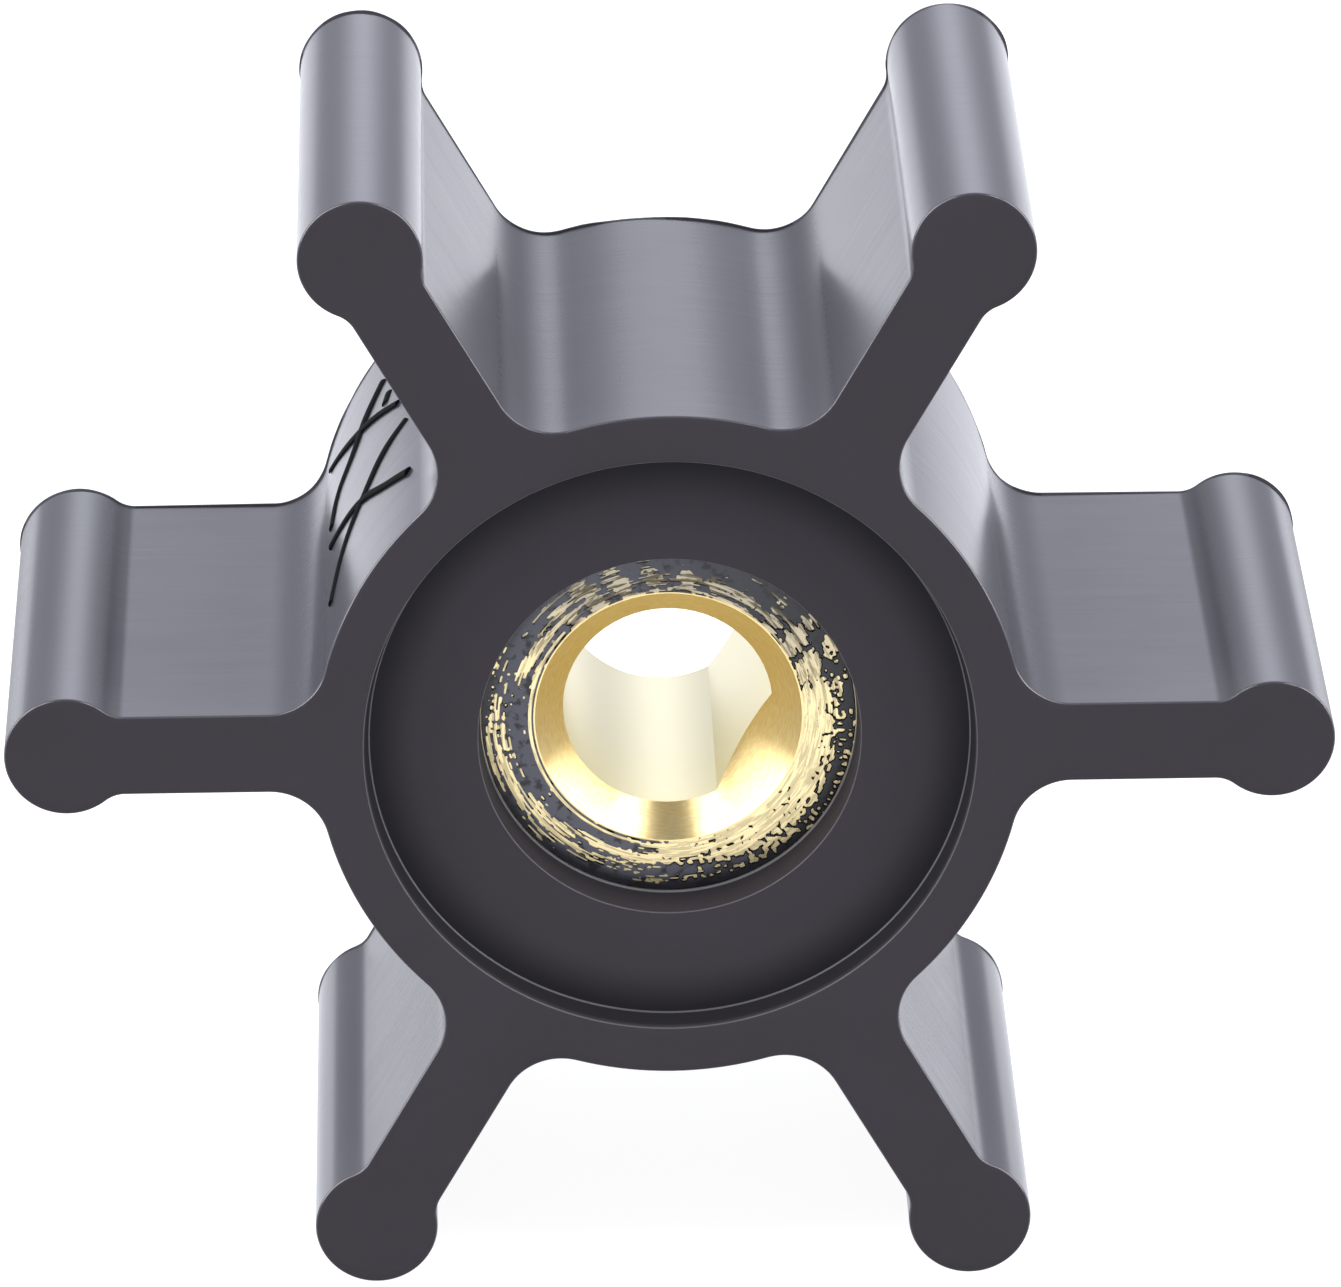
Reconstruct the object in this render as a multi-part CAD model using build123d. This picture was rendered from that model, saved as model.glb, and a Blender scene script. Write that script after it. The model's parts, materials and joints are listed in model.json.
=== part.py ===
from build123d import *

import os

# Flexible pump impeller: a six-bladed rubber moulding bonded round a turned brass bush.
# Millimetres. The shaft axis is Y, the front end face looks along -Y, and Z is up.
# The origin is on the shaft axis, half way along the impeller.
# It stands on the tips of its two lower blades.

# Rubber body, and the small chamfers that stand for its moulded edges and inner corners
tip_diameter = 51.0
impeller_width = 22.0
hub_diameter = 27.2
edge_chamfer = 0.08
foot_chamfer = 0.1

# Blades
blade_count = 6
web_thickness = 3.2
bead_diameter = 4.75
root_fillet_radius = 2.3
bead_fillet_radius = 1.2

# Recess in each end face, a round pocket with a drafted wall
recess_diameter = 23.5
recess_draft = 0.2
front_recess_depth = 1.1

# Rubber lip over each end of the bush, with a drafted eye that leaves the brass bare
lip_thickness = 2.0
eye_diameter = 14.7
eye_draft = 0.1

# Brass bush
bush_length = 15.0
bush_diameter = 16.0

# Bore for a shaft with one drive flat, and the countersink at each end of it
shaft_diameter = 8.0
shaft_clearance = 0.05
shaft_flat_height = 7.3
flat_clearance = 0.05
flat_direction = -28.0
countersink_width = 1.1
countersink_depth = 1.2

# Grip of the rubber on the bush: a straight knurl crossed by ring grooves
knurl_count = 24
knurl_depth = 0.5
knurl_opening = 1.0
ring_groove_count = 2
ring_groove_width = 1.6
ring_groove_depth = 0.7

# Sizes that follow from the ones above
half_width = impeller_width / 2
hub_radius = hub_diameter / 2
bead_radius = bead_diameter / 2
bead_centre_radius = tip_diameter / 2 - bead_radius
bush_radius = bush_diameter / 2
front_floor = -half_width + front_recess_depth
bush_front = front_floor + lip_thickness
bush_rear = bush_front + bush_length
rear_floor = bush_rear + lip_thickness
bore_radius = shaft_diameter / 2 + shaft_clearance
flat_distance = shaft_flat_height - shaft_diameter / 2 + flat_clearance


def blade_outline():
    """One blade along the X axis: a parallel web from the shaft axis out to a round bead."""
    web = Pos(bead_centre_radius / 2, 0) * Rectangle(bead_centre_radius, web_thickness)
    bead = Pos(bead_centre_radius, 0) * Circle(bead_radius)
    return web + bead


def corner_distance(corner):
    return corner.center().length


def star_outline():
    """The end view of the rubber: hub and blades, with a fillet in each inner corner."""
    star = Sketch() + Circle(hub_radius)
    for index in range(blade_count):
        star += Rot(0, 0, index * 360 / blade_count) * blade_outline()
    by_distance = star.vertices().group_by(corner_distance)
    star = fillet(by_distance[0], root_fillet_radius)
    neck_half = web_thickness / 2
    neck_reach = bead_centre_radius - (bead_radius**2 - neck_half**2) ** 0.5
    neck_distance = (neck_reach**2 + neck_half**2) ** 0.5
    necks = [corner for corner in star.vertices() if abs(corner_distance(corner) - neck_distance) < 0.001]
    return fillet(necks, bead_fillet_radius)


def drafted_pocket(mouth_diameter, draft, mouth_y, bottom_y):
    """A round pocket about the shaft axis, with a chamfered mouth, a drafted wall and a chamfered foot."""
    inward = 1 if bottom_y > mouth_y else -1
    mouth_radius = mouth_diameter / 2
    foot_radius = mouth_radius - draft
    outline = Polyline(
        (0, mouth_y),
        (mouth_radius + edge_chamfer, mouth_y),
        (mouth_radius, mouth_y + inward * edge_chamfer),
        (foot_radius, bottom_y - inward * foot_chamfer),
        (foot_radius - foot_chamfer, bottom_y),
        (0, bottom_y),
        close=True,
    )
    return revolve(make_face(outline), Axis.Y)


def bush_blank():
    """The outside of the bush with no bore: turned with its ring grooves, then knurled."""
    section = Pos(bush_radius / 2, (bush_front + bush_rear) / 2) * Rectangle(bush_radius, bush_length)
    for index in range(ring_groove_count):
        groove_y = bush_front + bush_length * (index + 1) / (ring_groove_count + 1)
        section -= Pos(bush_radius, groove_y) * Rectangle(2 * ring_groove_depth, ring_groove_width)
    groove_outline = Polyline(
        (bush_radius - knurl_depth, 0),
        (bush_radius + knurl_depth, knurl_opening),
        (bush_radius + knurl_depth, -knurl_opening),
        close=True,
    )
    groove = extrude(Plane.XZ * make_face(groove_outline), bush_length, both=True)
    grooves = [Rot(0, index * 360 / knurl_count, 0) * groove for index in range(knurl_count)]
    return revolve(section, Axis.Y) - grooves


def drive_bore():
    """The round bore less the segment behind its flat, longer than the bush at both ends."""
    behind_flat = Pos(flat_distance + bore_radius / 2, 0) * Rectangle(bore_radius, 2 * bore_radius)
    section = Circle(bore_radius) - Rot(0, 0, flat_direction) * behind_flat
    return extrude(Plane.XZ * section, bush_length, both=True)


def countersink(end_y, inward):
    """A countersink turned from its mouth on the bush's end face down to a tip on the shaft axis."""
    mouth_radius = bore_radius + countersink_width
    tip_y = end_y + inward * mouth_radius * countersink_depth / countersink_width
    flank = Spline((mouth_radius, end_y), (0, tip_y))
    axis_line = Line((0, tip_y), (0, end_y))
    mouth_line = Line((0, end_y), (mouth_radius, end_y))
    return revolve(make_face([flank, axis_line, mouth_line]), Axis.Y)


# Rubber body: the star, less a recess and an eye in each end, less the room that the bush fills
blank = bush_blank()
rubber_body = extrude(Plane.XZ * star_outline(), half_width, both=True)
end_edges = rubber_body.edges().group_by(Axis.Y)
rubber_body = chamfer(end_edges[0] + end_edges[-1], edge_chamfer)
for face_y, floor_y, bush_y in (
    (-half_width, front_floor, bush_front),
    (half_width, rear_floor, bush_rear),
):
    rubber_body -= drafted_pocket(recess_diameter, recess_draft, face_y, floor_y)
    rubber_body -= drafted_pocket(eye_diameter, eye_draft, floor_y, bush_y)
rubber_body -= blank

# Brass bush: the blank, bored with its flat and countersunk at both ends
drive_insert = blank - [drive_bore(), countersink(bush_front, 1), countersink(bush_rear, -1)]

os.makedirs("parts", exist_ok=True)
export_step(rubber_body, "parts/rubber_body.step")
export_step(drive_insert, "parts/drive_insert.step")
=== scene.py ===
import json
import math

import bmesh
import bpy
from mathutils import Matrix, Vector, noise

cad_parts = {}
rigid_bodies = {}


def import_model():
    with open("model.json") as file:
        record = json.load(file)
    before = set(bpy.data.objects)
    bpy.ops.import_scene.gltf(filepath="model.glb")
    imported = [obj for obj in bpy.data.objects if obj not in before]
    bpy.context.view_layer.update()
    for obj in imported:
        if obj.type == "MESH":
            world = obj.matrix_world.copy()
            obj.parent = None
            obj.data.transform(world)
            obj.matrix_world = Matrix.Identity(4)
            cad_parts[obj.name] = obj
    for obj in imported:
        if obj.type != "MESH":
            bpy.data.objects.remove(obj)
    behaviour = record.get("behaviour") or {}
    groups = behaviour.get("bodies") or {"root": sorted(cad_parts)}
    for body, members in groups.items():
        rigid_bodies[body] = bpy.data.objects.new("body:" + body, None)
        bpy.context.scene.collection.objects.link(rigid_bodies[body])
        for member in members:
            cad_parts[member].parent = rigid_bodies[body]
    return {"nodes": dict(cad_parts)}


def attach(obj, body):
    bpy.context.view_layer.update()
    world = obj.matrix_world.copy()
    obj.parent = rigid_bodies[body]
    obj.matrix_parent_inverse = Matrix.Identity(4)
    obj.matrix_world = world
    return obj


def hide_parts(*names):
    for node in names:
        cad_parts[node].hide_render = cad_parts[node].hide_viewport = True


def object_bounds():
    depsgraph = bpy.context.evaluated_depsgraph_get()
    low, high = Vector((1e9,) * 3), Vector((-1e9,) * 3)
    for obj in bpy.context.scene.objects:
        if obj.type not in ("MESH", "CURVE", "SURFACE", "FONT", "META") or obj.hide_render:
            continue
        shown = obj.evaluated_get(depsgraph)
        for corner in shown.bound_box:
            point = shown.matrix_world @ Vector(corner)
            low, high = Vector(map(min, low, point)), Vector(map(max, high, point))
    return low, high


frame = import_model()
cad_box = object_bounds()
bpy.ops.object.select_all(action="DESELECT")


# Camera: a long lens 43 cm in front of the impeller and 22 degrees above the shaft axis,
# so that the front end face and the upper sides of the blades both show.
azimuth = math.radians(-1.2475)
elevation = math.radians(22.267)
roll = math.radians(-0.3687)
distance = 0.4284
aim = Vector((0.000268, 0.0, -0.000168))
back = Vector((
    math.sin(azimuth) * math.cos(elevation),
    -math.cos(azimuth) * math.cos(elevation),
    math.sin(elevation),
))
level_right = (-back).cross(Vector((0, 0, 1))).normalized()
level_up = level_right.cross(-back)
right = math.cos(roll) * level_right + math.sin(roll) * level_up
up = -math.sin(roll) * level_right + math.cos(roll) * level_up
bpy.ops.object.camera_add()
camera = bpy.context.object
camera.name = "front_camera"
camera.data.lens = 293.23
camera.data.sensor_width = 36.0
camera.data.sensor_fit = "HORIZONTAL"
camera.data.clip_start = 0.01
camera.data.clip_end = 20.0
turned = Matrix((right, up, back)).transposed().to_4x4()
camera.matrix_world = Matrix.Translation(aim + distance * back) @ turned
bpy.context.scene.camera = camera


# Rubber moulding: hub, six blades and their beads in one piece of black nitrile rubber, compression
# moulded on the bush. Half a blade's outline is drawn as arcs and a straight web, then mirrored,
# repeated and drawn out along the shaft axis.
mm = 0.001
front_y = cad_box[0].y
rear_y = cad_box[1].y
tip_radius = cad_box[1].x
hub_radius = 13.6 * mm
bead_radius = 2.375 * mm
web_half = 1.6 * mm
root_fillet = 2.3 * mm
bead_fillet = 1.2 * mm
edge_round = 0.1 * mm
margin = 0.25 * mm
weld = 0.002 * mm
near_to = 0.01 * mm


def start_outline(x, y, z):
    """Puts the first point of an outline in the mesh that is being edited."""
    bpy.ops.mesh.primitive_circle_add(vertices=3, radius=mm)
    bpy.ops.mesh.merge(type="CENTER")
    bpy.ops.transform.translate(value=(x, y, z))


def arc_on(steps, degrees, centre, axis):
    """Draws the outline on from its last point, as an arc about a centre."""
    bpy.ops.mesh.spin(steps=steps, angle=math.radians(degrees), center=centre, axis=axis)


def line_on(x, y, z):
    """Draws the outline on from its last point, as a straight line."""
    bpy.ops.mesh.extrude_region_move(TRANSFORM_OT_translate={"value": (x, y, z)})


def pick(part, wanted):
    """Selects only the vertices, edges or faces of the edited mesh that a test picks out."""
    bpy.ops.mesh.select_mode(type={"verts": "VERT", "edges": "EDGE", "faces": "FACE"}[part])
    bpy.ops.mesh.select_all(action="DESELECT")
    mesh = bmesh.from_edit_mesh(bpy.context.object.data)
    for item in getattr(mesh, part):
        if wanted(item):
            item.select_set(True)
    mesh.select_flush_mode()
    bmesh.update_edit_mesh(bpy.context.object.data)


bpy.ops.mesh.primitive_circle_add(vertices=3, radius=mm)
moulding = bpy.context.object
moulding.name = "rubber_moulding"
moulding.data.name = "rubber_moulding"
bpy.ops.object.mode_set(mode="EDIT")
bpy.ops.mesh.select_all(action="SELECT")
bpy.ops.mesh.delete(type="VERT")
shaft = (0, 1, 0)
bead_centre = tip_radius - bead_radius
bead_angle = math.degrees(math.asin((web_half + bead_fillet) / (bead_radius + bead_fillet)))
web_end = bead_centre - math.sqrt((bead_radius + bead_fillet) ** 2 - (web_half + bead_fillet) ** 2)
root_angle = math.degrees(math.asin((web_half + root_fillet) / (hub_radius + root_fillet)))
web_start = math.sqrt((hub_radius + root_fillet) ** 2 - (web_half + root_fillet) ** 2)
start_outline(tip_radius, front_y, 0)
arc_on(36, 180 - bead_angle, (bead_centre, front_y, 0), shaft)
arc_on(10, bead_angle - 90, (web_end, front_y, web_half + bead_fillet), shaft)
line_on(web_start - web_end, 0, 0)
arc_on(20, root_angle - 90, (web_start, front_y, web_half + root_fillet), shaft)
arc_on(9, 30 - root_angle, (0, front_y, 0), shaft)
bpy.ops.mesh.select_all(action="SELECT")
bpy.ops.mesh.symmetrize(direction="POSITIVE_Z", threshold=0.001 * mm)
bpy.ops.mesh.select_all(action="SELECT")
bpy.ops.mesh.spin(steps=5, angle=math.radians(300), center=(0, 0, 0), axis=shaft, dupli=True)
bpy.ops.mesh.select_all(action="SELECT")
bpy.ops.mesh.remove_doubles(threshold=weld)
bpy.ops.mesh.edge_face_add()
fin_front = rear_y - 0.18 * mm
rows = (front_y, fin_front, fin_front + 0.04 * mm, rear_y - 0.05 * mm, rear_y)
for last, y in zip(rows, rows[1:]):
    line_on(0, y - last, 0)

# The mould's parting line is at the rear face: a thin fin of flash is left there, torn off unevenly,
# in waves about 5 mm and 1 mm long. It is lower at its rear, and the blades' tips still stand on the floor.
fin_height, coarse_height, fine_height = 0.045 * mm, 0.08 * mm, 0.03 * mm
rear_share = 0.6
mesh = bmesh.from_edit_mesh(moulding.data)
for point in mesh.verts:
    if point.co.y > fin_front + near_to:
        outward = Vector((point.normal.x, 0, point.normal.z)).normalized()
        flat_place = Vector((point.co.x, 0, point.co.z))
        coarse = noise.noise(flat_place * 210)
        fine = noise.noise(flat_place * 900 + Vector((3, 5, 7)))
        height = max(0.0, fin_height + coarse_height * coarse + fine_height * fine)
        point.co += outward * height * (rear_share if point.co.y > rear_y - near_to else 1.0)
        point.co.z = max(point.co.z, cad_box[0].z)
bmesh.update_edit_mesh(moulding.data)

# The front edge is rounded, and both end faces get a narrow margin of their own and are then opened.
# They are the only faces with more than four corners.
pick("faces", lambda face: len(face.verts) > 4 and face.calc_center_median().y < 0)
bpy.ops.mesh.region_to_loop()
bpy.ops.mesh.bevel(offset=edge_round, segments=3, affect="EDGES")
for sign in (-1, 1):
    pick("faces", lambda face: len(face.verts) > 4 and face.calc_center_median().y * sign > 0)
    bpy.ops.mesh.inset(thickness=margin, depth=0)
    bpy.ops.mesh.delete(type="ONLY_FACE")

# Recess, lip and eye at each end, and the room that the bush fills, are one turned profile. Two more
# circles, one outside the recess and one on its floor, keep the shading of the flat faces even.
recess_mouth, recess_foot = 11.75 * mm, 11.55 * mm
eye_mouth, eye_foot = 7.35 * mm, 7.25 * mm
bush_radius, bush_length = 8.0 * mm, 15.0 * mm
outer_circle, floor_circle = 12.1 * mm, 10.3 * mm
recess_depth = 1.1 * mm
lip_thickness = 2.0 * mm
recess_y = front_y + recess_depth
eye_y = recess_y + lip_thickness
rear_eye_y = eye_y + bush_length
rear_recess_y = rear_eye_y + lip_thickness
profile = [
    (outer_circle, front_y),
    (recess_mouth, front_y),
    (recess_foot, recess_y),
    (floor_circle, recess_y),
    (eye_mouth, recess_y),
    (eye_foot, eye_y),
    (bush_radius, eye_y),
    (bush_radius, rear_eye_y),
    (eye_foot, rear_eye_y),
    (eye_mouth, rear_recess_y),
    (floor_circle, rear_recess_y),
    (recess_foot, rear_recess_y),
    (recess_mouth, rear_y),
    (outer_circle, rear_y),
]
bpy.ops.mesh.select_mode(type="VERT")
bpy.ops.mesh.select_all(action="DESELECT")
start_outline(profile[0][0], profile[0][1], 0)
for (x0, y0), (x1, y1) in zip(profile, profile[1:]):
    line_on(x1 - x0, y1 - y0, 0)
bpy.ops.mesh.select_linked()
bpy.ops.mesh.spin(steps=180, angle=math.radians(360), center=(0, 0, 0), axis=shaft)
bpy.ops.mesh.select_linked()
bpy.ops.mesh.remove_doubles(threshold=weld)


def on_circle(edge, radius, y):
    """Whether an edge lies on the circle of that radius and place about the shaft axis."""
    return all(
        abs(math.hypot(end.co.x, end.co.z) - radius) < 2 * weld and abs(end.co.y - y) < 2 * weld
        for end in edge.verts
    )


# Corners of the profile by number: recess mouth, recess foot and eye mouth, at the front and the rear.
mouth_round, foot_round = 0.06 * mm, 0.08 * mm
for corner, size in (
    (1, mouth_round), (2, foot_round), (4, mouth_round), (9, mouth_round), (11, foot_round), (12, mouth_round)
):
    pick("edges", lambda edge: on_circle(edge, *profile[corner]))
    bpy.ops.mesh.bevel(offset=size, segments=3, affect="EDGES")
for y in (front_y, rear_y):
    pick("edges", lambda edge: edge.is_boundary and abs(edge.verts[0].co.y - y) < near_to)
    bpy.ops.mesh.fill()
bpy.ops.mesh.select_all(action="SELECT")
bpy.ops.mesh.normals_make_consistent(inside=False)
bpy.ops.object.mode_set(mode="OBJECT")
bpy.ops.object.shade_smooth()
weighted = moulding.modifiers.new("weighted", "WEIGHTED_NORMAL")
weighted.weight = 50
bpy.ops.object.modifier_apply(modifier="weighted")
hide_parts("rubber_body")
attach(moulding, "root")


def linear(hex_colour):
    """An sRGB hex colour as the linear red, green, blue and alpha that a shader takes."""
    parts = [int(hex_colour[i:i + 2], 16) / 255 for i in (1, 3, 5)]
    return [p / 12.92 if p <= 0.04045 else ((p + 0.055) / 1.055) ** 2.4 for p in parts] + [1.0]


def add_node(owner, kind, settings=None, links=None):
    """Adds a node, sets its properties and inputs, and links other nodes' outputs to its inputs."""
    node = owner.node_tree.nodes.new(kind)
    for name, value in (settings or {}).items():
        if isinstance(name, str) and hasattr(node, name):
            setattr(node, name, value)
        else:
            node.inputs[name].default_value = value
    for name, output in (links or {}).items():
        owner.node_tree.links.new(output, node.inputs[name])
    return node


def new_material(name):
    """An empty node material."""
    material = bpy.data.materials.new(name)
    material.use_nodes = True
    material.node_tree.nodes.clear()
    return material


# Sides of the blades and hub: nitrile rubber with the satin of the mould's cut steel. The cutter left
# lines 0.14 mm apart that run round the profile, and the beads are polished by the pump's housing.
sides = new_material("satin_moulded_nitrile_rubber")
place = add_node(sides, "ShaderNodeTexCoord")
xyz = add_node(sides, "ShaderNodeSeparateXYZ", links={"Vector": place.outputs["Object"]})
across = add_node(sides, "ShaderNodeCombineXYZ", links={"X": xyz.outputs["X"], "Y": xyz.outputs["Z"]})
radius = add_node(sides, "ShaderNodeVectorMath", {"operation": "LENGTH"}, {0: across.outputs[0]})
offset = add_node(sides, "ShaderNodeMath", {"operation": "ABSOLUTE"}, {0: xyz.outputs["Z"]})
around = add_node(
    sides, "ShaderNodeMath", {"operation": "ARCTAN2"}, {0: xyz.outputs["X"], 1: xyz.outputs["Z"]}
)
from_gap = add_node(
    sides, "ShaderNodeMath", {"operation": "PINGPONG", 1: math.radians(30)}, {0: around.outputs[0]}
)
line_place = add_node(
    sides, "ShaderNodeMapping", {"Scale": (150.0, 7000.0, 150.0)}, {"Vector": place.outputs["Object"]}
)
lines = add_node(
    sides, "ShaderNodeTexNoise", {"Scale": 1.0, "Detail": 3.0, "Roughness": 0.6},
    {"Vector": line_place.outputs[0]},
)
clouding = add_node(
    sides, "ShaderNodeTexNoise", {"Scale": 220.0, "Detail": 3.0}, {"Vector": place.outputs["Object"]}
)
uneven = add_node(
    sides, "ShaderNodeMapRange", {"To Min": -0.03, "To Max": 0.03}, {"Value": clouding.outputs[0]}
)
brushed = add_node(
    sides, "ShaderNodeMapRange",
    {"From Min": 0.3, "From Max": 0.7, "To Min": -0.025, "To Max": 0.025}, {"Value": lines.outputs[0]},
)
rough = add_node(
    sides, "ShaderNodeMath", {"operation": "ADD"}, {0: uneven.outputs[0], 1: brushed.outputs[0]}
)

# Zones that wear has made smoother or duller are added to the roughness. A zone is the product of its
# ramps. A ramp reads one measure, and goes from one level to another between two places on it. The
# measures are mm from the shaft axis, mm above it, mm above or below it, and degrees from the middle of
# the nearest gap between two blades.
measures = {
    "radius": (radius.outputs["Value"], mm),
    "height": (xyz.outputs["Z"], mm),
    "offset": (offset.outputs[0], mm),
    "from_gap": (from_gap.outputs[0], math.radians(1)),
}
upper_gap = ("height", 10.5, 12.0, 0.0, 1.0, "LINEAR")
level_blades = ("offset", 2.4, 3.0, 1.0, 0.0, "LINEAR")
zones = {
    "hub": [("radius", 13.8, 15.5, 0.12, 0.19, "LINEAR")],
    "webs": [("radius", 16.5, 21.5, 0.09, 0.05, "LINEAR")],
    "beads": [("radius", 21.2, 22.4, 0.0, -0.075, "LINEAR")],
    "upper_fillets": [
        upper_gap, ("radius", 13.6, 14.3, 0.0, 0.13, "LINEAR"), ("radius", 14.6, 15.8, 1.0, 0.0, "LINEAR")
    ],
    "upper_hub": [upper_gap, ("radius", 14.3, 16.2, 0.03, -0.09, "LINEAR")],
    "upper_webs": [upper_gap, ("radius", 16.5, 21.5, 0.0, 0.09, "LINEAR")],
    "beside_upper_fillets": [
        upper_gap, ("radius", 13.7, 14.1, 1.0, 0.0, "LINEAR"),
        ("from_gap", 4, 12, 0.0, 0.13, "SMOOTHSTEP"), ("from_gap", 14, 18, 1.0, 0.0, "SMOOTHSTEP"),
    ],
    "level_webs": [("offset", 2.0, 3.2, 0.05, 0.0, "LINEAR"), ("radius", 20.9, 21.1, 1.0, 0.0, "LINEAR")],
    "level_necks": [
        level_blades, ("radius", 20.9, 21.2, 0.0, 0.25, "SMOOTHSTEP"),
        ("radius", 21.5, 22.4, 1.0, -0.3, "SMOOTHSTEP"),
    ],
    "level_tips": [level_blades, ("radius", 24.8, 25.4, 0.0, 0.3, "LINEAR")],
}
for ramps in zones.values():
    amount = None
    for measure, near, far, near_level, far_level, kind in ramps:
        value, unit = measures[measure]
        ramp = add_node(
            sides, "ShaderNodeMapRange",
            {
                "interpolation_type": kind, "From Min": near * unit, "From Max": far * unit,
                "To Min": near_level, "To Max": far_level,
            },
            {"Value": value},
        )
        if amount is not None:
            ramp = add_node(
                sides, "ShaderNodeMath", {"operation": "MULTIPLY"}, {0: amount.outputs[0], 1: ramp.outputs[0]}
            )
        amount = ramp
    rough = add_node(
        sides, "ShaderNodeMath", {"operation": "ADD"}, {0: rough.outputs[0], 1: amount.outputs[0]}
    )
line_height = add_node(
    sides, "ShaderNodeMapRange", {"To Min": 0.0, "To Max": 0.002 * mm}, {"Value": lines.outputs[0]}
)
relief = add_node(
    sides, "ShaderNodeBump", {"Strength": 1.0, "Distance": 1.0}, {"Height": line_height.outputs[0]}
)
shade = add_node(
    sides, "ShaderNodeMix", {"data_type": "RGBA", "A": linear("#323137"), "B": linear("#38363d")},
    {"Factor": clouding.outputs[0]},
)
satin = add_node(
    sides, "ShaderNodeBsdfPrincipled",
    {"IOR": 1.6},
    {"Base Color": shade.outputs["Result"], "Roughness": rough.outputs[0], "Normal": relief.outputs[0]},
)
add_node(sides, "ShaderNodeOutputMaterial", links={"Surface": satin.outputs[0]})

# End faces and recesses: the same rubber where the mould was blasted, dull and evenly dark. Painted shade
# makes it blacker in the corner of the recess, and a thin pale line is painted round the foot of the eye.
ends = new_material("dull_moulded_nitrile_rubber")
place = add_node(ends, "ShaderNodeTexCoord")
xyz = add_node(ends, "ShaderNodeSeparateXYZ", links={"Vector": place.outputs["Object"]})
across = add_node(ends, "ShaderNodeCombineXYZ", links={"X": xyz.outputs["X"], "Y": xyz.outputs["Z"]})
radius = add_node(ends, "ShaderNodeVectorMath", {"operation": "LENGTH"}, {0: across.outputs[0]})
grain = add_node(
    ends, "ShaderNodeTexNoise", {"Scale": 6500.0, "Detail": 2.0}, {"Vector": place.outputs["Object"]}
)
clouding = add_node(
    ends, "ShaderNodeTexNoise", {"Scale": 200.0, "Detail": 3.0}, {"Vector": place.outputs["Object"]}
)
grain_height = add_node(
    ends, "ShaderNodeMapRange", {"To Min": 0.0, "To Max": 0.003 * mm}, {"Value": grain.outputs[0]}
)
relief = add_node(
    ends, "ShaderNodeBump", {"Strength": 1.0, "Distance": 1.0}, {"Height": grain_height.outputs[0]}
)
shade = add_node(
    ends, "ShaderNodeMix", {"data_type": "RGBA", "A": linear("#2d2a2e"), "B": linear("#322f34")},
    {"Factor": clouding.outputs[0]},
)
from_middle = add_node(ends, "ShaderNodeMath", {"operation": "ABSOLUTE"}, {0: xyz.outputs["Y"]})
sunk = add_node(
    ends, "ShaderNodeMapRange",
    {"From Min": rear_y - 0.3 * mm, "From Max": rear_y - 0.1 * mm, "To Min": 1.0, "To Max": 0.0},
    {"Value": from_middle.outputs[0]},
)
# Painted shade: the floor of the recess is painted blacker towards its wall, where shade falls.
corner = add_node(
    ends, "ShaderNodeMapRange",
    {"interpolation_type": "SMOOTHSTEP", "From Min": 9.6 * mm, "From Max": 11.6 * mm, "To Max": 0.75},
    {"Value": radius.outputs["Value"]},
)
painted_corner_shade = add_node(
    ends, "ShaderNodeMath", {"operation": "MULTIPLY"}, {0: sunk.outputs[0], 1: corner.outputs[0]}
)
shade = add_node(
    ends, "ShaderNodeMix", {"data_type": "RGBA", "B": linear("#0c0b0e")},
    {"Factor": painted_corner_shade.outputs[0], "A": shade.outputs["Result"]},
)
# Painted highlight: a thin pale line at the foot of the eye wall, where the edge would catch the light.
front_foot = add_node(
    ends, "ShaderNodeMapRange",
    {"From Min": eye_y - 0.28 * mm, "From Max": eye_y - 0.22 * mm, "To Max": 0.6},
    {"Value": xyz.outputs["Y"]},
)
rear_foot = add_node(
    ends, "ShaderNodeMapRange",
    {"From Min": rear_eye_y + 0.22 * mm, "From Max": rear_eye_y + 0.28 * mm, "To Min": 1.0, "To Max": 0.0},
    {"Value": xyz.outputs["Y"]},
)
painted_foot_highlight = add_node(
    ends, "ShaderNodeMath", {"operation": "MULTIPLY"}, {0: front_foot.outputs[0], 1: rear_foot.outputs[0]}
)
shade = add_node(
    ends, "ShaderNodeMix", {"data_type": "RGBA", "B": linear("#97979c")},
    {"Factor": painted_foot_highlight.outputs[0], "A": shade.outputs["Result"]},
)
dull = add_node(
    ends, "ShaderNodeBsdfPrincipled",
    {"IOR": 1.5, "Specular IOR Level": 0.15, "Roughness": 0.75},
    {"Base Color": shade.outputs["Result"], "Normal": relief.outputs[0]},
)
add_node(ends, "ShaderNodeOutputMaterial", links={"Surface": dull.outputs[0]})

# Sharp edges of the moulding get a paler rubber, a painted highlight along each edge.
edge_highlight = new_material("paler_edge_painted_highlight")
edge_highlight_bsdf = add_node(
    edge_highlight, "ShaderNodeBsdfPrincipled",
    {"Base Color": linear("#434247"), "Roughness": 0.5, "Specular IOR Level": 0.4},
)
add_node(edge_highlight, "ShaderNodeOutputMaterial", links={"Surface": edge_highlight_bsdf.outputs[0]})

# The end faces and all that is sunk in them are dull. The rounded corners at the recess, at the eye and
# round the front outline get the paler edge rubber, a painted highlight.
for material in (sides, ends, edge_highlight):
    moulding.data.materials.append(material)
for face in moulding.data.polygons:
    reach = math.hypot(face.center.x, face.center.z)
    tilt = abs(face.normal.y)
    sunk_part = reach < outer_circle + 0.1 * mm
    by_recess = reach > recess_foot - 0.15 * mm
    by_eye = eye_foot - 0.05 * mm < reach < eye_mouth + 0.15 * mm
    inner_edge = sunk_part and 0.2 < tilt < 0.95 and (by_recess or by_eye)
    front_edge = not sunk_part and 0.1 < tilt < 0.6 and face.center.y < front_y + 2 * edge_round
    if inner_edge or front_edge:
        face.material_index = 2
    elif sunk_part or tilt > 0.8:
        face.material_index = 1
    else:
        face.material_index = 0
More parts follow.
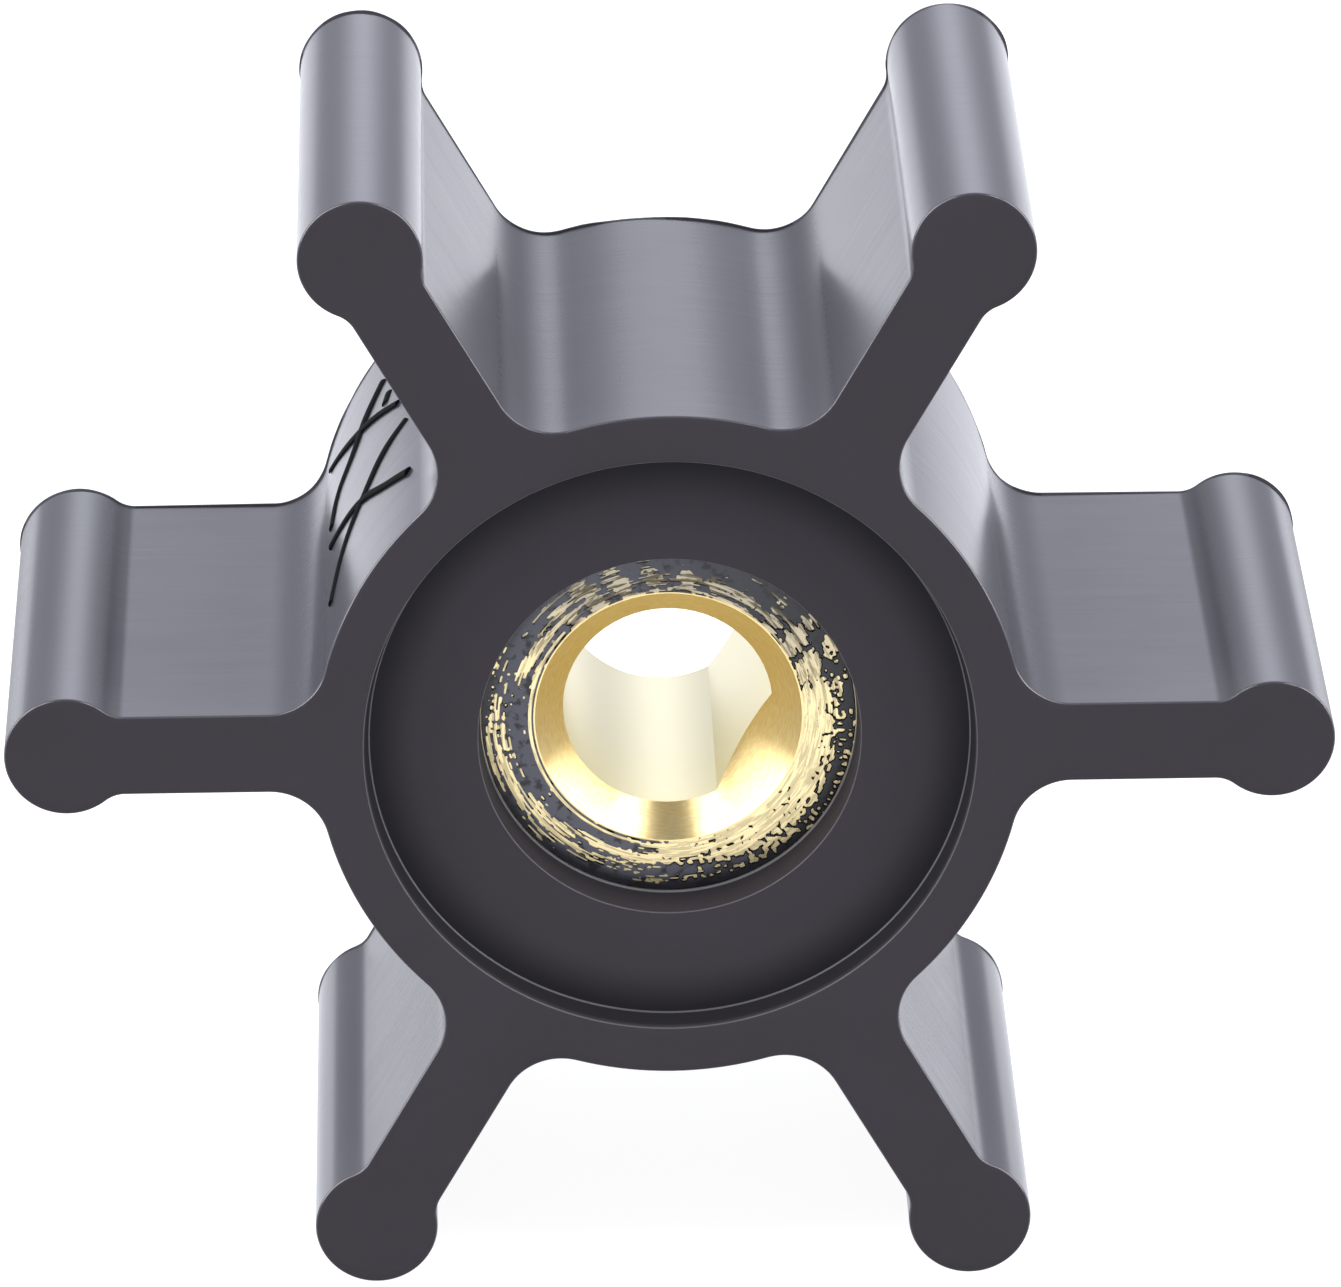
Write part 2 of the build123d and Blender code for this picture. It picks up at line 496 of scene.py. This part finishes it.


# Bush: free-cutting brass, turned, countersunk and broached with its drive flat, then bonded in the
# mould. The bore keeps marks along the shaft axis, and its brass is painted a near-white cream as a painted
# highlight for its bright reflections. The turned faces keep fine rings from the tool, and on the end face
# rubber is smeared along them in grey streaks, most of all near the top.
brass = new_material("turned_brass")
place = add_node(brass, "ShaderNodeTexCoord")
xyz = add_node(brass, "ShaderNodeSeparateXYZ", links={"Vector": place.outputs["Object"]})
across = add_node(brass, "ShaderNodeCombineXYZ", links={"X": xyz.outputs["X"], "Y": xyz.outputs["Z"]})
radius = add_node(brass, "ShaderNodeVectorMath", {"operation": "LENGTH"}, {0: across.outputs[0]})
inward = add_node(
    brass, "ShaderNodeMapRange",
    {"From Min": 4.1 * mm, "From Max": 4.2 * mm, "To Min": 1.0, "To Max": 0.0},
    {"Value": radius.outputs["Value"]},
)

# The bore is also all that lies deeper than the countersinks. The slope of a countersink through a point
# meets the end face at a radius of 5.15 mm on the countersink, and at a greater one below it.
countersink_slope = 1.1 / 1.2
bush_middle = eye_y + bush_length / 2
from_middle = add_node(
    brass, "ShaderNodeMath", {"operation": "SUBTRACT", 1: bush_middle}, {0: xyz.outputs["Y"]}
)
from_middle = add_node(brass, "ShaderNodeMath", {"operation": "ABSOLUTE"}, {0: from_middle.outputs[0]})
widening = add_node(
    brass, "ShaderNodeMath",
    {"operation": "MULTIPLY_ADD", 1: -countersink_slope, 2: countersink_slope * bush_length / 2},
    {0: from_middle.outputs[0]},
)
meeting = add_node(
    brass, "ShaderNodeMath", {"operation": "ADD"}, {0: widening.outputs[0], 1: radius.outputs["Value"]}
)
deeper = add_node(
    brass, "ShaderNodeMapRange", {"From Min": 5.17 * mm, "From Max": 5.21 * mm}, {"Value": meeting.outputs[0]}
)
in_bore = add_node(
    brass, "ShaderNodeMath", {"operation": "MULTIPLY"}, {0: inward.outputs[0], 1: deeper.outputs[0]}
)
end_face = add_node(
    brass, "ShaderNodeMapRange", {"From Min": 5.16 * mm, "From Max": 5.3 * mm},
    {"Value": radius.outputs["Value"]},
)
heading = add_node(brass, "ShaderNodeVectorMath", {"operation": "NORMALIZE"}, {0: across.outputs[0]})
top_side = add_node(
    brass, "ShaderNodeVectorMath", {"operation": "DOT_PRODUCT", 1: (0.14, 0.99, 0.0)},
    {0: heading.outputs[0]},
)
top_side = add_node(
    brass, "ShaderNodeMapRange", {"From Min": 0.2, "From Max": 0.75}, {"Value": top_side.outputs["Value"]}
)

# Streaks and rings are noise that is long around the shaft axis and short across it. The rings are about
# 0.05 mm apart, coarser than a real tool's, so that they show.
heading = add_node(brass, "ShaderNodeSeparateXYZ", links={"Vector": heading.outputs[0]})
ring = add_node(
    brass, "ShaderNodeMath", {"operation": "MULTIPLY", 1: 1.7 / mm}, {0: radius.outputs["Value"]}
)
ring_place = add_node(
    brass, "ShaderNodeCombineXYZ",
    links={"X": heading.outputs["X"], "Y": heading.outputs["Y"], "Z": ring.outputs[0]},
)
streaks = add_node(
    brass, "ShaderNodeTexNoise", {"Scale": 5.0, "Detail": 4.0, "Roughness": 0.65, "Distortion": 0.4},
    {"Vector": ring_place.outputs[0]},
)
tool_rings = add_node(
    brass, "ShaderNodeTexNoise", {"Scale": 13.0, "Detail": 2.0}, {"Vector": ring_place.outputs[0]}
)
smear = add_node(
    brass, "ShaderNodeMapRange",
    {"interpolation_type": "SMOOTHSTEP", "From Min": 0.44, "From Max": 0.56}, {"Value": streaks.outputs[0]},
)
smear_depth = add_node(
    brass, "ShaderNodeMapRange", {"To Min": 0.4, "To Max": 0.95}, {"Value": top_side.outputs[0]}
)
smear = add_node(
    brass, "ShaderNodeMath", {"operation": "MULTIPLY"}, {0: smear.outputs[0], 1: end_face.outputs[0]}
)
smear = add_node(
    brass, "ShaderNodeMath", {"operation": "MULTIPLY"}, {0: smear.outputs[0], 1: smear_depth.outputs[0]}
)
tone = add_node(
    brass, "ShaderNodeMapRange",
    {"From Min": 0.35, "From Max": 0.65, "To Min": 0.0, "To Max": 0.6}, {"Value": tool_rings.outputs[0]},
)
gold = add_node(
    brass, "ShaderNodeMix", {"data_type": "RGBA", "A": linear("#fae6ae"), "B": linear("#eecd80")},
    {"Factor": tone.outputs[0]},
)
face_gold = add_node(
    brass, "ShaderNodeMix", {"data_type": "RGBA", "A": linear("#f7e4ae"), "B": linear("#b5ab92")},
    {"Factor": top_side.outputs[0]},
)
gold = add_node(
    brass, "ShaderNodeMix", {"data_type": "RGBA"},
    {"Factor": end_face.outputs[0], "A": gold.outputs["Result"], "B": face_gold.outputs["Result"]},
)
gold = add_node(
    brass, "ShaderNodeMix", {"data_type": "RGBA", "B": linear("#57503f")},
    {"Factor": smear.outputs[0], "A": gold.outputs["Result"]},
)
# Painted highlight: the bore is mixed to a near-white cream, paler than the brass of the countersinks.
shade = add_node(
    brass, "ShaderNodeMix", {"data_type": "RGBA", "B": linear("#fff8d6")},
    {"Factor": in_bore.outputs[0], "A": gold.outputs["Result"]},
)
ring_depth = add_node(
    brass, "ShaderNodeMapRange", {"To Min": 0.0015 * mm, "To Max": 0.0}, {"Value": in_bore.outputs[0]}
)
ring_height = add_node(
    brass, "ShaderNodeMath", {"operation": "MULTIPLY"}, {0: tool_rings.outputs[0], 1: ring_depth.outputs[0]}
)
relief = add_node(
    brass, "ShaderNodeBump", {"Strength": 1.0, "Distance": 1.0}, {"Height": ring_height.outputs[0]}
)
turning = add_node(brass, "ShaderNodeTangent", {"direction_type": "RADIAL", "axis": "Y"})
along_marks = add_node(
    brass, "ShaderNodeMix", {"data_type": "VECTOR", "B": (0.0, 1.0, 0.0)},
    {"Factor": in_bore.outputs[0], "A": turning.outputs[0]},
)
rough = add_node(
    brass, "ShaderNodeMapRange", {"To Min": 0.31, "To Max": 0.46}, {"Value": in_bore.outputs[0]}
)
bare = add_node(
    brass, "ShaderNodeBsdfPrincipled",
    {"Metallic": 1.0, "Anisotropic": 0.6, "Anisotropic Rotation": 0.25},
    {
        "Base Color": shade.outputs["Result"], "Roughness": rough.outputs[0],
        "Normal": relief.outputs[0], "Tangent": along_marks.outputs["Result"],
    },
)
add_node(brass, "ShaderNodeOutputMaterial", links={"Surface": bare.outputs[0]})
bush = frame["nodes"]["drive_insert"]
for slot in bush.material_slots:
    slot.material = brass


# Flash of the rubber on the end faces of the bush: a torn skin 0.05 mm thick that the mould left.
# The share of the brass that it hides is a row for each hour of the clock, seen from the front, from the
# countersink outwards. Streaks that follow the turned lines tear its edges.
cover = [
    (0.50, 0.45, 0.75, 0.93, 0.97, 0.99),
    (0.50, 0.40, 0.80, 0.97, 0.97, 0.99),
    (0.40, 0.40, 0.45, 0.50, 0.70, 0.90),
    (0.10, 0.12, 0.25, 0.50, 0.70, 0.85),
    (0.05, 0.08, 0.15, 0.35, 0.65, 0.85),
    (0.05, 0.08, 0.12, 0.35, 0.65, 0.90),
    (0.30, 0.30, 0.45, 0.60, 0.85, 0.97),
    (0.90, 0.90, 0.45, 0.45, 0.90, 0.98),
    (0.95, 0.97, 0.98, 0.45, 0.40, 0.95),
    (0.90, 0.95, 0.97, 0.55, 0.42, 0.90),
    (0.60, 0.45, 0.60, 0.92, 0.85, 0.95),
    (0.45, 0.40, 0.45, 0.50, 0.60, 0.95),
]

# At each of the same hours, how much of the tearing is specks, and how strong the stripes across it are.
specks = (0.2, 0.3, 0.4, 0.9, 1.0, 0.9, 0.4, 0.0, 0.0, 0.3, 0.2, 0.1)
stripes = (0.5, 0.2, 0.8, 0.1, 0.0, 0.0, 0.0, 0.0, 0.0, 0.0, 0.2, 1.0)
hours = len(cover)
bands = len(cover[0]) - 1
film_inner = 5.2 * mm
film_outer = 7.24 * mm
thickness = 0.05 * mm
rings = 40


def covered(x, z, seed):
    """Whether the skin lies at a point of an end face."""
    reach = math.hypot(x, z)
    hour = math.degrees(math.atan2(x, z)) % 360 / 30
    out = (reach - film_inner) / (film_outer - film_inner) * bands
    row, column = int(hour), min(int(out), bands - 1)
    next_row = (row + 1) % hours
    u, v = hour - row, min(out, bands) - column
    near, far = cover[row], cover[next_row]
    wanted = (near[column] * (1 - u) + far[column] * u) * (1 - v)
    wanted += (near[column + 1] * (1 - u) + far[column + 1] * u) * v
    speckled = specks[row] * (1 - u) + specks[next_row] * u
    striped = stripes[row] * (1 - u) + stripes[next_row] * u
    wanted += 0.35 * striped * math.sin(math.tau * (hour * 2.42 + out * 0.11))
    direction = Vector((x, 0, z)).normalized()
    wander = 0.35 * noise.noise(direction * 4 + Vector((seed, 1, 2)))
    streak = noise.noise(direction * 2.6 + Vector((seed, (out + wander) * 2.6, 0)))
    fine = noise.noise(direction * 5 + Vector((seed, (out + wander) * 9, 9)))
    grain = noise.noise(Vector((x * 5500, seed, z * 5500)))
    along_countersink = 5.28 * mm < reach < 5.42 * mm and 6.4 < hour + 0.5 * streak < 10.2
    if along_countersink:
        return False
    streaky = 0.6 * streak + 0.55 * fine
    grainy = 0.6 * grain + 0.3 * streak
    level = (1 - speckled) * streaky + speckled * grainy + 0.1 * grain
    return level < (wanted - 0.5) * 0.95


edge = new_material("black_rubber_painted_shade")
skin = new_material("thin_rubber_flash")
for name, face_y, outwards, seed in (
    ("front_rubber_flash", eye_y, -thickness, 4), ("rear_rubber_flash", rear_eye_y, thickness, 11)
):
    bpy.ops.object.select_all(action="DESELECT")
    bpy.ops.mesh.primitive_circle_add(vertices=3, radius=mm)
    flash = bpy.context.object
    flash.name = name
    flash.data.name = name
    bpy.ops.object.mode_set(mode="EDIT")
    bpy.ops.mesh.select_mode(type="VERT")
    bpy.ops.mesh.select_all(action="SELECT")
    bpy.ops.mesh.delete(type="VERT")
    start_outline(0, face_y, film_inner)
    for step in range(rings):
        line_on(0, 0, (film_outer - film_inner) / rings)
    bpy.ops.mesh.select_all(action="SELECT")
    bpy.ops.mesh.spin(steps=720, angle=math.radians(360), center=(0, 0, 0), axis=shaft)
    bpy.ops.mesh.select_all(action="SELECT")
    bpy.ops.mesh.remove_doubles(threshold=weld)
    pick("faces", lambda face: not covered(face.calc_center_median().x, face.calc_center_median().z, seed))
    bpy.ops.mesh.delete(type="FACE")
    bpy.ops.mesh.select_all(action="SELECT")
    bpy.ops.mesh.vertices_smooth(factor=0.5, repeat=2)
    # Painted shade: torn edge faces below 4 mm above the shaft axis, most of them on the right, get the
    # near-black material.
    for face in bmesh.from_edit_mesh(flash.data).faces:
        middle = face.calc_center_median()
        at_tear = any(side.is_boundary for side in face.edges)
        if at_tear and middle.z < 4 * mm and (middle.x > 0 or noise.noise(middle * 2500) > 0.3):
            face.material_index = 1
    bpy.ops.mesh.extrude_region_move(TRANSFORM_OT_translate={"value": (0, outwards, 0)})
    bpy.ops.mesh.select_all(action="SELECT")
    bpy.ops.mesh.normals_make_consistent(inside=False)
    bpy.ops.object.mode_set(mode="OBJECT")
    flash.data.materials.append(skin)
    flash.data.materials.append(edge)
    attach(flash, "root")

# The skin is a black rubber film, grey in spots, most on the left, and blacker towards its outer rim.
place = add_node(skin, "ShaderNodeTexCoord")
xyz = add_node(skin, "ShaderNodeSeparateXYZ", links={"Vector": place.outputs["Object"]})
across = add_node(skin, "ShaderNodeCombineXYZ", links={"X": xyz.outputs["X"], "Y": xyz.outputs["Z"]})
radius = add_node(skin, "ShaderNodeVectorMath", {"operation": "LENGTH"}, {0: across.outputs[0]})
spots = add_node(
    skin, "ShaderNodeTexNoise", {"Scale": 2500.0, "Detail": 3.0}, {"Vector": place.outputs["Object"]}
)
grey_share = add_node(
    skin, "ShaderNodeMapRange", {"From Min": 0.36, "From Max": 0.48}, {"Value": spots.outputs[0]}
)
heading = add_node(skin, "ShaderNodeVectorMath", {"operation": "NORMALIZE"}, {0: across.outputs[0]})
left_side = add_node(
    skin, "ShaderNodeVectorMath", {"operation": "DOT_PRODUCT", 1: (-0.996, -0.087, 0.0)},
    {0: heading.outputs[0]},
)
left_share = add_node(
    skin, "ShaderNodeMapRange", {"From Min": -0.9, "From Max": 0.3, "To Min": 0.1, "To Max": 1.0},
    {"Value": left_side.outputs["Value"]},
)
rim_share = add_node(
    skin, "ShaderNodeMapRange",
    {"From Min": 6.6 * mm, "From Max": 7.0 * mm, "To Min": 1.0, "To Max": 0.15},
    {"Value": radius.outputs["Value"]},
)
for share in (left_share, rim_share):
    grey_share = add_node(
        skin, "ShaderNodeMath", {"operation": "MULTIPLY"}, {0: grey_share.outputs[0], 1: share.outputs[0]}
    )
shade = add_node(
    skin, "ShaderNodeMix", {"data_type": "RGBA", "A": linear("#151416"), "B": linear("#4a4b54")},
    {"Factor": grey_share.outputs[0]},
)
relief = add_node(
    skin, "ShaderNodeBump", {"Strength": 1.0, "Distance": 0.02 * mm}, {"Height": spots.outputs[0]}
)
film = add_node(
    skin, "ShaderNodeBsdfPrincipled", {"Roughness": 0.3},
    {"Base Color": shade.outputs["Result"], "Normal": relief.outputs[0]},
)
add_node(skin, "ShaderNodeOutputMaterial", links={"Surface": film.outputs[0]})

# Where the skin is torn, its edge is real, and is painted matt and near black as painted shade along the
# raised edge.
painted_shade_bsdf = add_node(
    edge, "ShaderNodeBsdfPrincipled",
    {"Base Color": linear("#0c0c0e"), "Roughness": 0.8, "Specular IOR Level": 0.1},
)
add_node(edge, "ShaderNodeOutputMaterial", links={"Surface": painted_shade_bsdf.outputs[0]})


# Score marks on the hub between the two upper left blades: five lines where a sharp edge has raised a
# burr of torn rubber. Each burr is painted near-black as painted shade, and its lower flank paler as a
# painted highlight. Each knot of a line has its place along the shaft in mm, its turn in degrees up from the
# right blade, and its half width in mm.
scores = {
    "score_mark_a": [
        (7.4, 143, 0.26), (6.0, 148, 0.30), (4.3, 153, 0.27), (3.4, 159, 0.25), (1.8, 162, 0.26)
    ],
    "score_mark_b": [(3.0, 139, 0.17), (4.5, 145.5, 0.20), (5.9, 152.5, 0.20), (8.5, 163, 0.13)],
    "score_mark_c": [
        (0.4, 137, 0.22), (-0.4, 142.5, 0.28), (-2.0, 148.5, 0.26), (-3.6, 155.5, 0.24), (-6.1, 162, 0.26)
    ],
    "score_mark_d": [(-5.5, 136.5, 0.24), (-4.2, 142.5, 0.20), (-2.3, 149.5, 0.20), (-0.2, 162, 0.20)],
    "score_mark_e": [(5.4, 141.5, 0.22), (4.7, 142.5, 0.22)],
}
flatness = 0.4
for name, points in scores.items():
    bpy.ops.object.select_all(action="DESELECT")
    bpy.ops.curve.primitive_bezier_curve_add()
    line = bpy.context.object
    line.name = name
    line.data.name = name
    line.data.bevel_depth = mm
    line.data.bevel_resolution = 3
    line.data.resolution_u = 10
    line.data.use_fill_caps = True
    spline = line.data.splines[0]
    spline.bezier_points.add(len(points) - 2)
    crosses_another = name in ("score_mark_b", "score_mark_d")
    base = hub_radius + (0.05 * mm if crosses_another else 0.0)
    for knot, (y, turn, half_width) in zip(spline.bezier_points, points):
        knot.co = (base * math.cos(math.radians(turn)), y * mm, base * math.sin(math.radians(turn)))
        knot.handle_left_type = knot.handle_right_type = "AUTO"
        knot.radius = half_width
    bpy.ops.object.convert(target="MESH")
    for point in line.data.vertices:
        reach = math.hypot(point.co.x, point.co.z)
        flatter = (base + (reach - base) * flatness) / reach
        point.co.x *= flatter
        point.co.z *= flatter
    bpy.ops.object.shade_smooth()
    line.data.materials.append(edge)
    line.data.materials.append(edge_highlight)
    line.data.update()
    # Painted highlight on the faces of one flank, and painted shade in near-black on the rest.
    for face in line.data.polygons:
        outward = Vector((face.center.x, 0, face.center.z)).normalized()
        highlit_side = Vector((-outward.z, 0.6, outward.x)).normalized()
        is_highlit = face.normal.dot(highlit_side) > 0.55 and face.normal.dot(outward) > 0
        face.material_index = 1 if is_highlit else 0
    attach(line, "root")


# Floor: a plain sheet of matt white paper, which the impeller stands on with its two lower blades.
# The camera, reflections and clear pieces see it darker and add a white glow, so that it comes out white
# and keeps a faint shadow. In reflections the glow is slightly blue, as in a daylight studio.
bpy.ops.mesh.primitive_plane_add(size=12.0, location=(0, 0, cad_box[0].z))
floor = bpy.context.object
floor.name = "floor"
paper = new_material("white_paper_sheet")
matt = add_node(paper, "ShaderNodeBsdfDiffuse", {"Color": linear("#e6e6e6")})
soft = add_node(paper, "ShaderNodeBsdfDiffuse", {"Color": linear("#898989")})
rays = add_node(paper, "ShaderNodeLightPath")
glow_colour = add_node(
    paper, "ShaderNodeMix", {"data_type": "RGBA", "A": (0.94, 0.96, 1.06, 1), "B": (1.0, 1.0, 1.0, 1)},
    {"Factor": rays.outputs["Is Camera Ray"]},
)
glow = add_node(paper, "ShaderNodeEmission", {"Strength": 0.93}, {"Color": glow_colour.outputs["Result"]})
both = add_node(paper, "ShaderNodeAddShader", links={0: soft.outputs[0], 1: glow.outputs[0]})
seen = add_node(
    paper, "ShaderNodeMath", {"operation": "MAXIMUM"},
    {0: rays.outputs["Is Camera Ray"], 1: rays.outputs["Is Glossy Ray"]},
)
seen = add_node(
    paper, "ShaderNodeMath", {"operation": "MAXIMUM"},
    {0: seen.outputs[0], 1: rays.outputs["Is Transmission Ray"]},
)
shown = add_node(
    paper, "ShaderNodeMixShader", links={0: seen.outputs[0], 1: matt.outputs[0], 2: both.outputs[0]}
)
add_node(paper, "ShaderNodeOutputMaterial", links={"Surface": shown.outputs[0]})
floor.data.materials.append(paper)


# Studio: a pale room that is darker overhead, brighter low behind the impeller, and brightest in a soft
# spot behind and above it, which the level faces of the hub and blades reflect to the camera. Two soft
# panels stand at each side, one beside the impeller and one above that and further forward.
world = bpy.data.worlds.new("pale_room")
bpy.context.scene.world = world
world.use_nodes = True
world.node_tree.nodes.clear()
direction = add_node(world, "ShaderNodeTexCoord")
heading = add_node(world, "ShaderNodeSeparateXYZ", links={"Vector": direction.outputs["Generated"]})
front_level = add_node(
    world, "ShaderNodeMapRange", {"From Min": 0.0, "From Max": 1.0, "To Min": 0.93, "To Max": 0.28},
    {"Value": heading.outputs["Z"]},
)
back_level = add_node(
    world, "ShaderNodeMapRange",
    {"interpolation_type": "SMOOTHSTEP", "From Min": -0.05, "From Max": 0.09, "To Min": 1.12, "To Max": 0.67},
    {"Value": heading.outputs["Z"]},
)
backwards = add_node(
    world, "ShaderNodeMapRange", {"From Min": -0.35, "From Max": 0.35}, {"Value": heading.outputs["Y"]}
)
room_level = add_node(
    world, "ShaderNodeMix", {"data_type": "FLOAT"},
    {"Factor": backwards.outputs[0], "A": front_level.outputs[0], "B": back_level.outputs[0]},
)
to_spot = add_node(
    world, "ShaderNodeVectorMath", {"operation": "DOT_PRODUCT", 1: (0.035, 0.926, 0.375)},
    {0: direction.outputs["Generated"]},
)
to_spot = add_node(world, "ShaderNodeMath", {"operation": "MAXIMUM", 1: 0.0}, {0: to_spot.outputs["Value"]})
spot = add_node(world, "ShaderNodeMath", {"operation": "POWER", 1: 48.0}, {0: to_spot.outputs[0]})
strength = add_node(
    world, "ShaderNodeMath", {"operation": "MULTIPLY_ADD", 1: 1.35},
    {0: spot.outputs[0], 2: room_level.outputs["Result"]},
)
room = add_node(
    world, "ShaderNodeBackground", {"Color": (0.94, 0.97, 1.10, 1)}, {"Strength": strength.outputs[0]}
)
add_node(world, "ShaderNodeOutputWorld", links={"Surface": room.outputs[0]})


def soft_panel(name, place, width, height, radiance):
    """A rectangular white lamp that faces the impeller, and doesn't show to the camera."""
    bpy.ops.object.light_add(type="AREA", location=place)
    lamp = bpy.context.object
    lamp.name = name
    lamp.data.shape = "RECTANGLE"
    lamp.data.size = width
    lamp.data.size_y = height
    lamp.data.energy = radiance * math.pi * width * height
    lamp.rotation_euler = Vector(place).to_track_quat("Z", "Y").to_euler()
    lamp.visible_camera = False


for sign, side in ((1, "right"), (-1, "left")):
    soft_panel(side + "_panel", (0.80 * sign, -0.12, 0.38), width=0.42, height=0.76, radiance=9.5)
    soft_panel(side + "_upper_panel", (0.47 * sign, -0.27, 0.80), width=0.36, height=0.34, radiance=8.5)

# Light goes from wall to wall of the bore several times before it comes out.
bpy.context.scene.cycles.glossy_bounces = 12
bpy.context.scene.view_settings.view_transform = "Standard"
